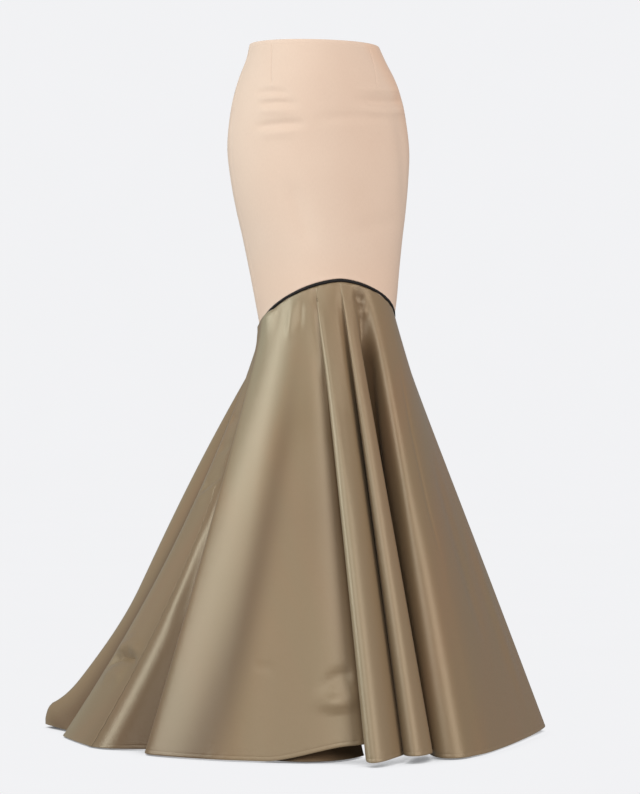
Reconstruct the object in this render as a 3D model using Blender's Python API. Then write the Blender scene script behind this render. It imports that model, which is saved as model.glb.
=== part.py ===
"""Mermaid fishtail skirt: hollow, as worn, waist centre at the origin, front towards -Y, hem at FLOOR_Z.

Turn angles are degrees about +Z, 0 at centre front (-Y), +90 at the wearer's left side (+X),
180 at centre back. Every cloth piece is a wall between an outer surface and one offset inwards.
"""
import bpy
import numpy as np
from collections import namedtuple

# ---------------------------------------------------------------- named sizes, metres
FLOOR_Z = -1.180                # waist to floor
TUBE_WALL = 0.0016              # fitted upper skirt cloth
FLOUNCE_WALL = 0.0015           # satin flounce cloth
SEAM_GAP = 0.0004               # clear space between two sewn pieces

PIPING_TALL = 0.0052            # piping between tube and flounce
PIPING_DEEP = 0.0030
PIPING_PROUD = 0.0010           # how far it stands out of the cloth beside it
PIPING_GAP = 0.0006             # along the cloth, above and below the piping
# cross-section of the piping: share of its height down, share of its depth in
PIPING_OUTLINE = ((0.00, 0.40), (0.18, 0.00), (0.82, 0.00), (1.00, 0.40),
                  (0.82, 0.80), (0.18, 0.80))
SEAM_FRONT_Z = -0.406           # piping height at its highest point
SEAM_DROP = 0.130               # how far it falls to centre back
SEAM_TURN = -2.0                # turn angle of its highest point
SEAM_SHAPE = 0.8                # below 1 it falls sooner beside the front

FLOUNCE_STEPS = 5               # mesh steps from one fold line to the next
FLOUNCE_LEVELS = (0.0, 0.12, 0.30, 0.50, 0.70, 0.84, 0.93, 1.0)
BEND_AT = 0.62                  # where the fall starts to turn out to the train
TRAIN_RISE = 0.22               # height of the turn above the floor, per metre of train
SWELL = 0.35                    # folds stand out a little more at mid height
MEAN_FRONT = 0.300              # plain oval the folds are measured from, at the hem
MEAN_BACK = 0.560
MEAN_SIDE = 0.385
MEAN_SHIFT_Y = -0.020

TUBE_LEVELS = 14
TUBE_CROWDING = 1.4             # over 1 puts more levels near the waist
TUBE_STEPS_FRONT = 25
TUBE_STEPS_BACK = 13
PIPING_STEPS = 60

ZIP_TAPE_WIDE = 0.0110
ZIP_TAPE_THICK = 0.0010
ZIP_TAPE_TOP_Z = -0.003
ZIP_TAPE_LEVELS = 8             # tube levels the tape reaches down
ZIP_TAPE_BEHIND = 0.0005        # from the back panels' inner face to the tape
ZIP_SLIDER_Z = -0.012           # height of the pull's hinge line

# ---------------------------------------------------------------- tables
BodySection = namedtuple("BodySection", "name z half_width front_depth back_depth shift_x shift_y")
BODY = [
    BodySection("waist",       0.000, 0.1134, 0.084, 0.080, 0.0000,  0.000),
    BodySection("waist_low",  -0.024, 0.1215, 0.090, 0.084, 0.0022, -0.002),
    BodySection("belly",      -0.058, 0.1368, 0.098, 0.093, 0.0040, -0.004),
    BodySection("high_hip",   -0.095, 0.1484, 0.103, 0.104, 0.0050, -0.005),
    BodySection("upper_hip",  -0.130, 0.1545, 0.106, 0.115, 0.0055, -0.006),
    BodySection("hip",        -0.178, 0.1588, 0.107, 0.125, 0.0063, -0.008),
    BodySection("low_hip",    -0.229, 0.1553, 0.105, 0.125, 0.0063, -0.014),
    BodySection("top_thigh",  -0.280, 0.1484, 0.102, 0.117, 0.0068, -0.019),
    BodySection("thigh",      -0.331, 0.1389, 0.100, 0.106, 0.0075, -0.024),
    BodySection("low_thigh",  -0.383, 0.1303, 0.098, 0.097, 0.0085, -0.029),
    BodySection("above_knee", -0.434, 0.1228, 0.096, 0.091, 0.0097, -0.034),
    BodySection("knee",       -0.494, 0.1135, 0.094, 0.088, 0.0100, -0.037),
    BodySection("below_knee", -0.560, 0.1090, 0.094, 0.088, 0.0100, -0.040),
]

# One row per ridge or valley of the flounce, going round from centre back.
# seam_deg, hem_deg: turn angle at the piping and at the hem; hem_radius: from the origin's
# axis; lift: hem above the floor; roundness: length of the curve's handles at the hem;
# lean_deg: turn of the hem line there; train: run out along the floor; hang: how much
# the fold hangs in before it flares.
Fold = namedtuple("Fold", "name seam_deg hem_deg hem_radius lift roundness lean_deg train hang")
FOLDS = [
    Fold("back_centre",       -180.0, -180.0, 0.700, 0.003, 0.070,   0, 0.16, 0.00),
    Fold("back_valley_1",     -168.0, -167.0, 0.610, 0.003, 0.030,   0, 0.14, 0.00),
    Fold("back_right_2",      -157.0, -156.0, 0.600, 0.003, 0.035,   5, 0.14, 0.00),
    Fold("back_valley_2",     -147.0, -148.0, 0.480, 0.003, 0.022,   0, 0.10, 0.05),
    Fold("back_right_1",      -137.0, -138.5, 0.505, 0.003, 0.026,   5, 0.11, 0.15),
    Fold("back_valley_3",     -130.0, -129.0, 0.424, 0.003, 0.016,   0, 0.08, 0.16),
    Fold("tail",              -122.5, -122.2, 0.490, 0.006, 0.015,  12, 0.13,-0.30),
    Fold("tail_valley",       -111.5, -112.0, 0.418, 0.003, 0.012,   0, 0.01, 0.22),
    Fold("side_fold",          -99.1, -105.8, 0.429, 0.003, 0.016,  15, 0.00, 0.40),
    Fold("right_side_seam",    -89.0,  -86.6, 0.396, 0.003, 0.050,   9, 0.00, 0.50),
    Fold("side_valley",        -83.0,  -73.5, 0.319, 0.003, 0.014,   0, 0.00, 0.20),
    Fold("front_panel_edge",   -74.0,  -65.7, 0.356, 0.003, 0.040,  12, 0.00, 0.00),
    Fold("front_panel_1",      -52.0,  -46.9, 0.333, 0.003, 0.035,   8, 0.00, 0.00),
    Fold("front_panel_2",      -37.0,  -31.4, 0.322, 0.003, 0.032,   1, 0.00, 0.00),
    Fold("front_panel_3",      -26.5,   -8.2, 0.336, 0.030, 0.030,   2, 0.00, 0.00),
    Fold("pleat_valley_1",     -22.0,    1.2, 0.325, 0.036, 0.006,  20, 0.00, 0.00),
    Fold("pleat_1",            -21.2,   -5.0, 0.374, 0.008, 0.026, -62, 0.00, 0.00),
    Fold("pleat_1_face",        -9.0,    5.2, 0.347, 0.012, 0.024,  38, 0.00, 0.00),
    Fold("pleat_valley_2",      -3.5,   14.8, 0.292, 0.012, 0.006,  20, 0.00, 0.00),
    Fold("pleat_2",             -2.0,    6.2, 0.356, 0.013, 0.024, -66, 0.00, 0.00),
    Fold("pleat_2_face",         4.0,   15.2, 0.346, 0.013, 0.020,  40, 0.00, 0.00),
    Fold("deep_valley",         12.0,   28.2, 0.240, 0.006, 0.014, -10, 0.00, 0.32),
    Fold("left_ridge",          24.0,   18.4, 0.350, 0.003, 0.034, -44, 0.00, 0.00),
    Fold("left_panel_1",        40.0,   30.0, 0.359, 0.003, 0.026,   2, 0.00, 0.00),
    Fold("left_panel_2",        55.0,   46.0, 0.349, 0.003, 0.040,   1, 0.00, 0.00),
    Fold("left_panel_3",        72.0,   65.5, 0.364, 0.004, 0.036, -15, 0.00, 0.00),
    Fold("left_side_fold",      86.0,   82.0, 0.408, 0.008, 0.018, -10, 0.00, 0.00),
    Fold("left_side_seam",      92.0,   89.0, 0.372, 0.004, 0.016,  20, 0.00, 0.00),
    Fold("left_valley",         98.0,   97.0, 0.350, 0.004, 0.016,   0, 0.00, 0.00),
    Fold("back_left_1",        109.0,  106.0, 0.435, 0.003, 0.024,   0, 0.04, 0.05),
    Fold("back_valley_4",      119.0,  117.0, 0.390, 0.003, 0.020,   0, 0.05, 0.05),
    Fold("back_left_2",        130.0,  129.0, 0.505, 0.003, 0.032,   0, 0.09, 0.00),
    Fold("back_valley_5",      141.0,  140.0, 0.455, 0.003, 0.022,   0, 0.09, 0.00),
    Fold("back_left_3",        154.0,  152.0, 0.610, 0.003, 0.038,   0, 0.13, 0.00),
    Fold("back_valley_6",      167.0,  165.5, 0.580, 0.003, 0.030,   0, 0.13, 0.00),
]
RIGHT_SEAM_ROW = [fold.name for fold in FOLDS].index("right_side_seam")
LEFT_SEAM_ROW = [fold.name for fold in FOLDS].index("left_side_seam")

Material = namedtuple("Material", "name color roughness metallic")
MATERIALS = {
    "nude_cloth": Material("nude_cloth", (0.74, 0.52, 0.38), 0.80, 0.0),
    "olive_satin": Material("olive_satin", (0.30, 0.25, 0.165), 0.42, 0.0),
    "piping": Material("piping", (0.012, 0.010, 0.009), 0.55, 0.0),
    "zip_tape": Material("zip_tape", (0.68, 0.48, 0.36), 0.85, 0.0),
    "zip_metal": Material("zip_metal", (0.66, 0.50, 0.38), 0.35, 0.6),
}


# ---------------------------------------------------------------- body form
def body_sizes(z):
    """Half width, depths and shifts at height z, on a smooth curve through BODY."""
    heights = -np.array([row.z for row in BODY])
    values = np.array([row[2:] for row in BODY])
    slopes = np.gradient(values, heights, axis=0)
    down = -np.asarray(z, dtype=float)
    low = np.clip(np.searchsorted(heights, down, side="right") - 1, 0, len(BODY) - 2)
    span = (heights[low + 1] - heights[low])[..., None]
    u = (down[..., None] - heights[low][..., None]) / span
    return ((2 * u ** 3 - 3 * u ** 2 + 1) * values[low]
            + (u ** 3 - 2 * u ** 2 + u) * span * slopes[low]
            + (3 * u ** 2 - 2 * u ** 3) * values[low + 1]
            + (u ** 3 - u ** 2) * span * slopes[low + 1])


def body_point(deg, z):
    """Point of the fitted form at a turn angle and a height."""
    deg, z = np.broadcast_arrays(np.asarray(deg, dtype=float), np.asarray(z, dtype=float))
    size = body_sizes(z)
    turn = np.radians(deg)
    depth = np.where(np.cos(turn) > 0, size[..., 1], size[..., 2])
    x = size[..., 3] + size[..., 0] * np.sin(turn)
    y = size[..., 4] - depth * np.cos(turn)
    return np.stack([x, y, z], axis=-1)


def piping_z(deg):
    """Height of the piping line: highest near centre front, lowest at centre back."""
    turn = np.radians(np.asarray(deg, dtype=float) - SEAM_TURN)
    return SEAM_FRONT_Z - SEAM_DROP * (np.sin(turn / 2) ** 2) ** SEAM_SHAPE


# ---------------------------------------------------------------- flounce form
def fold_column(name):
    """One column of FOLDS, closed with its first row again."""
    column = [getattr(fold, name) for fold in FOLDS]
    first = column[0] + (360.0 if name in ("seam_deg", "hem_deg") else 0.0)
    return np.array(column + [first], dtype=float)


def flounce_grid(turns, levels):
    """Points of the flounce: turns counts rows of FOLDS, levels runs from piping 0 to hem 1."""
    count = len(FOLDS)
    wrap = np.floor(np.asarray(turns, dtype=float) / count)
    turns = np.asarray(turns, dtype=float) - wrap * count
    row = np.clip(np.floor(turns).astype(int), 0, count - 1)
    u = turns - row
    ease = u * u * (3 - 2 * u)

    def eased(name):
        column = fold_column(name)
        return column[row] * (1 - ease) + column[row + 1] * ease

    seam = fold_column("seam_deg")
    seam_deg = seam[row] * (1 - u) + seam[row + 1] * u
    hem_turn = np.radians(fold_column("hem_deg"))
    radius = fold_column("hem_radius")
    knot = np.stack([radius * np.sin(hem_turn), -radius * np.cos(hem_turn)], axis=-1)
    lean = hem_turn + np.radians(fold_column("lean_deg"))
    handle = np.stack([np.cos(lean), np.sin(lean)], axis=-1) * fold_column("roundness")[:, None]
    w = u[:, None]
    hem_xy = ((1 - w) ** 3 * knot[row]
              + 3 * (1 - w) ** 2 * w * (knot[row] + handle[row])
              + 3 * (1 - w) * w ** 2 * (knot[row + 1] - handle[row + 1])
              + w ** 3 * knot[row + 1])

    start = body_point(seam_deg, piping_z(seam_deg) - PIPING_TALL / 2 - PIPING_GAP)
    end = np.concatenate([hem_xy, (FLOOR_Z + eased("lift"))[:, None]], axis=1)
    outward = end - start
    outward[:, 2] = 0.0
    outward /= np.linalg.norm(outward, axis=1, keepdims=True)
    train = eased("train")[:, None]
    turn_point = end - outward * train
    turn_point[:, 2] += TRAIN_RISE * train[:, 0]
    bend = start + (turn_point - start) * BEND_AT

    fine = np.linspace(0.0, 1.0, 41)[:, None, None]
    fall = ((1 - fine) ** 3 * start + 3 * (1 - fine) ** 2 * fine * bend
            + 3 * (1 - fine) * fine ** 2 * turn_point + fine ** 3 * end)
    step = np.linalg.norm(np.diff(fall, axis=0), axis=2)
    length = np.concatenate([np.zeros((1, fall.shape[1])), np.cumsum(step, axis=0)])
    length /= length[-1]
    levels = np.asarray(levels, dtype=float)
    grid = np.empty((len(levels), fall.shape[1], 3))
    for column in range(fall.shape[1]):
        for axis in range(3):
            grid[:, column, axis] = np.interp(levels, length[:, column], fall[:, column, axis])

    from_middle = hem_xy - (0.0, MEAN_SHIFT_Y)
    mean_depth = np.where(from_middle[:, 1] < 0, MEAN_FRONT, MEAN_BACK)
    reach = np.hypot(from_middle[:, 0] / MEAN_SIDE, from_middle[:, 1] / mean_depth)[:, None]
    middle = (levels * (1 - levels))[:, None, None]
    grid[:, :, :2] += SWELL * middle * from_middle * (1 - 1 / reach)
    grid[:, :, :2] -= eased("hang")[:, None] * middle * (end - start)[:, :2]
    return grid


# ---------------------------------------------------------------- solids
def material(name):
    """The named Principled material, made once."""
    found = bpy.data.materials.get(name)
    if found is not None:
        return found
    row = MATERIALS[name]
    made = bpy.data.materials.new(name)
    made.use_nodes = True
    shader = made.node_tree.nodes["Principled BSDF"]
    shader.inputs["Base Color"].default_value = (*row.color, 1.0)
    shader.inputs["Roughness"].default_value = row.roughness
    shader.inputs["Metallic"].default_value = row.metallic
    return made


def add_solid(name, material_name, vertices, faces, pivot=(0.0, 0.0, 0.0)):
    """Link a mesh object with its material and its origin on the pivot."""
    mesh = bpy.data.meshes.new(name)
    mesh.from_pydata([tuple(map(float, point)) for point in np.asarray(vertices) - pivot], [], faces)
    mesh.validate()
    mesh.update()
    mesh.materials.append(material(material_name))
    made = bpy.data.objects.new(name, mesh)
    made.location = tuple(map(float, pivot))
    bpy.context.scene.collection.objects.link(made)
    return made


def inward(grid):
    """Unit normals of a grid, towards the wearer (rows go down, columns go round)."""
    down = np.gradient(grid, axis=0)
    around = np.gradient(grid, axis=1)
    normal = np.cross(down, around)
    return -normal / np.linalg.norm(normal, axis=2, keepdims=True)


def wall_faces(rows, columns, closed):
    """Quads of a wall: outer grid, inner grid and the rims between them."""
    size = rows * columns
    faces = []
    last = columns if closed else columns - 1
    for row in range(rows - 1):
        for column in range(last):
            after = (column + 1) % columns
            a = row * columns + column
            b = row * columns + after
            c = (row + 1) * columns + after
            d = (row + 1) * columns + column
            faces.append((a, d, c, b))
            faces.append((size + a, size + b, size + c, size + d))
    for column in range(last):
        after = (column + 1) % columns
        low = (rows - 1) * columns
        faces.append((column, after, size + after, size + column))
        faces.append((low + column, size + low + column, size + low + after, low + after))
    if not closed:
        for row in range(rows - 1):
            a = row * columns
            b = (row + 1) * columns
            faces.append((a, size + a, size + b, b))
            a += columns - 1
            b += columns - 1
            faces.append((a, b, size + b, size + a))
    return faces


def add_wall(name, material_name, grid, thickness):
    """Cloth piece whose grid has one spare column at each end, drawn back by half the gap."""
    normal = inward(grid)
    outer = grid[:, 1:-1].copy()
    normal = normal[:, 1:-1]
    for edge, beside in ((0, 1), (-1, -2)):
        along = outer[:, beside] - outer[:, edge]
        along /= np.linalg.norm(along, axis=1, keepdims=True)
        outer[:, edge] += along * SEAM_GAP / 2
    inner = outer + normal * thickness
    rows, columns = outer.shape[:2]
    vertices = np.concatenate([outer.reshape(-1, 3), inner.reshape(-1, 3)])
    return add_solid(name, material_name, vertices, wall_faces(rows, columns, False))


def spaced(low, high, steps):
    """Evenly spaced values with one spare value beyond each end."""
    step = (high - low) / steps
    return np.linspace(low - step, high + step, steps + 3)


def tube_heights(deg):
    """Heights of the tube's levels at the given turn angles, from the waist to the piping."""
    share = np.linspace(0.0, 1.0, TUBE_LEVELS)[:, None] ** TUBE_CROWDING
    bottom = piping_z(deg) + PIPING_TALL / 2 + PIPING_GAP
    return share * bottom


# upper skirt: one front and two back panels, joined at the side seams and the centre back
def add_tube_panel(name, low_deg, high_deg, steps):
    deg = spaced(low_deg, high_deg, steps)[None, :]
    add_wall(name, "nude_cloth", body_point(deg, tube_heights(deg)), TUBE_WALL)


# flounce: one front and two back gores between the same seams
def add_flounce_panel(name, low_row, high_row):
    turns = spaced(low_row, high_row, (high_row - low_row) * FLOUNCE_STEPS)
    add_wall(name, "olive_satin", flounce_grid(turns, FLOUNCE_LEVELS), FLOUNCE_WALL)


# piping: one round cord in its strip, all the way round between tube and flounce
def add_piping():
    deg = np.linspace(-180.0, 180.0, PIPING_STEPS, endpoint=False)
    middle = piping_z(deg)
    above = body_point(deg, middle + PIPING_TALL / 2)
    below = body_point(deg, middle - PIPING_TALL / 2)
    normal = inward(np.stack([above, below])[:, np.r_[-1, 0:PIPING_STEPS, 0]])[0, 1:-1]
    rings = []
    for down_share, in_share in PIPING_OUTLINE:
        out = PIPING_PROUD - PIPING_DEEP * in_share
        rings.append(above * (1 - down_share) + below * down_share - normal * out)
    vertices = np.concatenate(rings)
    faces = []
    for ring in range(len(PIPING_OUTLINE)):
        beyond = (ring + 1) % len(PIPING_OUTLINE)
        for step in range(PIPING_STEPS):
            after = (step + 1) % PIPING_STEPS
            faces.append((ring * PIPING_STEPS + step, beyond * PIPING_STEPS + step,
                          beyond * PIPING_STEPS + after, ring * PIPING_STEPS + after))
    add_solid("piping", "piping", vertices, faces)


# zip at the centre back: two tapes inside the opening, slider and pull tab outside
def add_zip_tape(name, side):
    """side is +1 for the wearer's left tape, -1 for the right one."""
    across = np.linspace(0.0, ZIP_TAPE_WIDE, 4)
    height = tube_heights(np.array([180.0]))[:ZIP_TAPE_LEVELS]
    height[0] = ZIP_TAPE_TOP_Z
    half_width = body_sizes(height)[..., 0]
    turn = np.degrees((across + SEAM_GAP / 2)[None, :] / half_width)
    order = slice(None) if side < 0 else slice(None, None, -1)
    deg = (180.0 - side * turn)[:, order]
    face = body_point(deg, np.broadcast_to(height, deg.shape))
    normal = inward(face)
    outer = face + normal * (TUBE_WALL + ZIP_TAPE_BEHIND)
    inner = outer + normal * ZIP_TAPE_THICK
    rows, columns = face.shape[:2]
    vertices = np.concatenate([outer.reshape(-1, 3), inner.reshape(-1, 3)])
    add_solid(name, "zip_tape", vertices, wall_faces(rows, columns, False))


def zip_frame():
    """Hinge-height point on the outer face at centre back, with outward and downward units."""
    point = body_point(180.0, ZIP_SLIDER_Z)
    down = body_point(180.0, ZIP_SLIDER_Z - 0.012) - body_point(180.0, ZIP_SLIDER_Z + 0.008)
    down[0] = 0.0
    down /= np.linalg.norm(down)
    outward = np.cross((1.0, 0.0, 0.0), down)
    return point, outward, down


def add_block(name, material_name, cuts, missing, place, pivot=(0.0, 0.0, 0.0)):
    """Closed block of cells between the cuts across, outward and down, less the missing cells."""
    counts = [len(axis_cuts) - 1 for axis_cuts in cuts]
    present = {(i, j, k) for i in range(counts[0]) for j in range(counts[1])
               for k in range(counts[2])} - set(missing)
    sides = (
        ((-1, 0, 0), ((0, 0, 0), (0, 0, 1), (0, 1, 1), (0, 1, 0))),
        ((1, 0, 0), ((1, 0, 0), (1, 1, 0), (1, 1, 1), (1, 0, 1))),
        ((0, -1, 0), ((0, 0, 0), (1, 0, 0), (1, 0, 1), (0, 0, 1))),
        ((0, 1, 0), ((0, 1, 0), (0, 1, 1), (1, 1, 1), (1, 1, 0))),
        ((0, 0, -1), ((0, 0, 0), (0, 1, 0), (1, 1, 0), (1, 0, 0))),
        ((0, 0, 1), ((0, 0, 1), (1, 0, 1), (1, 1, 1), (0, 1, 1))),
    )
    index = {}
    vertices = []
    faces = []
    for cell in sorted(present):
        for step, corners in sides:
            if tuple(np.add(cell, step)) in present:
                continue
            face = []
            for corner in corners:
                key = tuple(np.add(cell, corner))
                if key not in index:
                    index[key] = len(vertices)
                    vertices.append(place(*(axis_cuts[at] for axis_cuts, at in zip(cuts, key))))
                face.append(index[key])
            faces.append(tuple(reversed(face)))
    add_solid(name, material_name, vertices, faces, pivot)


def add_zip_hardware():
    point, outward, down = zip_frame()

    def place(x, out, below):
        return point + np.array([x, 0.0, 0.0]) + outward * out + down * below

    # slider: a base along the cloth and a loop round the pull's bar
    slider_x = (-0.0018, 0.0018)
    slider_out = (0.0006, 0.0018, 0.0040, 0.0050)
    slider_down = (-0.0021, -0.0011, 0.0011, 0.0021, 0.0070)
    hole = [(0, 1, 1)]
    below_loop = [(0, 1, 3), (0, 2, 3)]
    add_block("zip_slider", "zip_metal", (slider_x, slider_out, slider_down), hole + below_loop, place)

    # pull tab: a bar through the loop, a window round it and a flat tab below; it turns
    # about the bar, whose middle is its origin
    tab_x = (-0.0034, -0.0023, 0.0023, 0.0034)
    tab_out = (0.0023, 0.0035)
    tab_down = (-0.0006, 0.0006, 0.0037, 0.0240)
    bar = place(0.0, (tab_out[0] + tab_out[1]) / 2, 0.0)
    add_block("zip_pull", "zip_metal", (tab_x, tab_out, tab_down), [(1, 0, 1)], place, bar)


# ---------------------------------------------------------------- build
for leftover in list(bpy.data.objects):
    bpy.data.objects.remove(leftover, do_unlink=True)

right_seam_deg = FOLDS[RIGHT_SEAM_ROW].seam_deg
left_seam_deg = FOLDS[LEFT_SEAM_ROW].seam_deg
add_tube_panel("skirt_front", right_seam_deg, left_seam_deg, TUBE_STEPS_FRONT)
add_tube_panel("skirt_back_left", left_seam_deg, 180.0, TUBE_STEPS_BACK)
add_tube_panel("skirt_back_right", -180.0, right_seam_deg, TUBE_STEPS_BACK)
add_piping()
add_flounce_panel("flounce_front", RIGHT_SEAM_ROW, LEFT_SEAM_ROW)
add_flounce_panel("flounce_back_left", LEFT_SEAM_ROW, len(FOLDS))
add_flounce_panel("flounce_back_right", 0, RIGHT_SEAM_ROW)
add_zip_tape("zip_tape_left", 1)
add_zip_tape("zip_tape_right", -1)
add_zip_hardware()
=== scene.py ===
"""Mermaid fishtail skirt: cloth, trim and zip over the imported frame, standing as worn.

Metres, waist centre at the origin, front towards -Y. Turn angles are degrees about +Z,
0 at centre front, +90 at the wearer's left side and 180 at centre back.
"""
from collections import namedtuple

import bmesh
import bpy
import numpy as np
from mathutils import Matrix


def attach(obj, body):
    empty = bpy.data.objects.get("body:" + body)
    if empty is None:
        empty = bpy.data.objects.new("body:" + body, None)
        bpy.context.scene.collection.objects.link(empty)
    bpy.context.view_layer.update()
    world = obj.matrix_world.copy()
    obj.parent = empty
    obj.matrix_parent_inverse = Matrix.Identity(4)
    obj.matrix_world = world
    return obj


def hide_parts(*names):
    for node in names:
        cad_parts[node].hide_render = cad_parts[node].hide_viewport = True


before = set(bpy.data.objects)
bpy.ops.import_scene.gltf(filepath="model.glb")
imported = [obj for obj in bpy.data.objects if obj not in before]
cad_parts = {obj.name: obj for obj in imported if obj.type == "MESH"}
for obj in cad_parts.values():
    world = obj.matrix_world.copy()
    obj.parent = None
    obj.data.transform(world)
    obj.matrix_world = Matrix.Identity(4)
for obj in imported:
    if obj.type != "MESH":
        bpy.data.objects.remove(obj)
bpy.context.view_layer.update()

# ---------------------------------------------------------------- fitted upper skirt
# The tube from waist to knee is one front and two back panels of firm nude crepe, cut to the
# body with darts and joined at the side seams and centre back; its top edge is turned in.
# Hip and waist pull it into a few soft creases across.
BodySection = namedtuple("BodySection", "name z half_width front_depth back_depth shift_x shift_y")
BODY = [
    BodySection("waist",       0.000, 0.1134, 0.084, 0.080, 0.0000,  0.000),
    BodySection("waist_low",  -0.024, 0.1215, 0.090, 0.084, 0.0022, -0.002),
    BodySection("belly",      -0.058, 0.1368, 0.098, 0.093, 0.0040, -0.004),
    BodySection("high_hip",   -0.095, 0.1484, 0.103, 0.104, 0.0050, -0.005),
    BodySection("upper_hip",  -0.130, 0.1545, 0.106, 0.115, 0.0055, -0.006),
    BodySection("hip",        -0.178, 0.1588, 0.107, 0.125, 0.0063, -0.008),
    BodySection("low_hip",    -0.229, 0.1553, 0.105, 0.125, 0.0063, -0.014),
    BodySection("top_thigh",  -0.280, 0.1484, 0.102, 0.117, 0.0068, -0.019),
    BodySection("thigh",      -0.331, 0.1389, 0.100, 0.106, 0.0075, -0.024),
    BodySection("low_thigh",  -0.383, 0.1303, 0.098, 0.097, 0.0085, -0.029),
    BodySection("above_knee", -0.434, 0.1228, 0.096, 0.091, 0.0097, -0.034),
    BodySection("knee",       -0.494, 0.1135, 0.094, 0.088, 0.0100, -0.037),
    BodySection("below_knee", -0.560, 0.1090, 0.094, 0.088, 0.0100, -0.040),
]
PIPING_TALL = 0.0052
PIPING_GAP = 0.0003             # clear cloth-to-cord space above and below it
SEAM_FRONT_Z = -0.406           # piping height at its highest point
SEAM_DROP = 0.130
SEAM_TURN = -2.0
SEAM_SHAPE = 0.8
RIGHT_SIDE_DEG = -89.0
LEFT_SIDE_DEG = 92.0
CREPE_THICK = 0.0016
ROLL_WIDE = 0.0018              # a pressed seam edge turns in over this width
ROLL_DEEP = 0.0007
TOP_STITCH_DOWN = 0.0080        # the facing is caught down this far below the top edge
WORN_WIDE = 0.004               # handling shows on the cloth this near its edges
SHARP_DEG = 55.0


def body_sizes(z):
    """Half width, depths and shifts at height z, on a smooth curve through BODY."""
    heights = -np.array([row.z for row in BODY])
    values = np.array([row[2:] for row in BODY])
    slopes = np.gradient(values, heights, axis=0)
    down = -np.asarray(z, dtype=float)
    low = np.clip(np.searchsorted(heights, down, side="right") - 1, 0, len(BODY) - 2)
    span = (heights[low + 1] - heights[low])[..., None]
    u = (down[..., None] - heights[low][..., None]) / span
    return ((2 * u ** 3 - 3 * u ** 2 + 1) * values[low]
            + (u ** 3 - 2 * u ** 2 + u) * span * slopes[low]
            + (3 * u ** 2 - 2 * u ** 3) * values[low + 1]
            + (u ** 3 - u ** 2) * span * slopes[low + 1])


def body_point(deg, z):
    """Point of the fitted form at a turn angle and a height."""
    deg, z = np.broadcast_arrays(np.asarray(deg, dtype=float), np.asarray(z, dtype=float))
    size = body_sizes(z)
    turn = np.radians(deg)
    depth = np.where(np.cos(turn) > 0, size[..., 1], size[..., 2])
    x = size[..., 3] + size[..., 0] * np.sin(turn)
    y = size[..., 4] - depth * np.cos(turn)
    return np.stack([x, y, z], axis=-1)


def piping_z(deg):
    """Height of the piping line: highest near centre front, lowest at centre back."""
    turn = np.radians(np.asarray(deg, dtype=float) - SEAM_TURN)
    return SEAM_FRONT_Z - SEAM_DROP * (np.sin(turn / 2) ** 2) ** SEAM_SHAPE


def smooth_step(value, low, high):
    """0 below low, 1 above high, eased between."""
    share = np.clip((value - low) / (high - low), 0.0, 1.0)
    return share * share * (3 - 2 * share)


def bell(value, width):
    """1 at a value of 0, fading smoothly over the width to each side."""
    return np.exp(-(value / width) ** 2)


def uneven_ripple(run, fine, slow):
    """A ripple from -1 to 1 along a seam, its spacing drifting slowly."""
    return np.sin(run * fine + 2.0 * np.sin(run * slow))


def rolled_edge(distance):
    """How far a pressed edge has turned in, from 0 to 1, at a distance from it."""
    return np.clip(1 - distance / ROLL_WIDE, 0, 1) ** 2


def crease(points, line, width, depth, ends=0.3):
    """Rise of a soft crease at points: depth beside line, fading over width and at its ends."""
    line = np.asarray(line, dtype=float)
    flat = points.reshape(-1, 3)
    near = np.full(len(flat), np.inf)
    along = np.zeros(len(flat))
    for index, spot in enumerate(line):
        away = ((flat - spot) ** 2).sum(axis=1)
        closer = away < near
        near[closer] = away[closer]
        along[closer] = index / (len(line) - 1)
    fade = smooth_step(np.minimum(along, 1 - along), -0.02, ends)
    return (depth * np.exp(-near / width ** 2) * fade).reshape(points.shape[:2])


def facing_out(grid):
    """Unit normals of a grid away from the wearer (rows go down, columns go round)."""
    normal = np.cross(np.gradient(grid, axis=0), np.gradient(grid, axis=1))
    return normal / np.linalg.norm(normal, axis=2, keepdims=True)


def edge_distance(grid, axis):
    """Distance of each point to the nearer of the two edges along one axis."""
    step = np.linalg.norm(np.diff(grid, axis=axis), axis=2)
    zero = np.zeros_like(np.take(step, [0], axis=axis))
    run = np.concatenate([zero, np.cumsum(step, axis=axis)], axis=axis)
    return np.minimum(run, np.take(run, [-1], axis=axis) - run), run


def add_piece(name, mesh, material):
    """Smooth-shaded object of a mesh, in its material, put into the scene."""
    mesh.polygons.foreach_set("use_smooth", np.ones(len(mesh.polygons), bool))
    mesh.materials.append(material)
    made = bpy.data.objects.new(name, mesh)
    bpy.context.scene.collection.objects.link(made)
    return made


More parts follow.
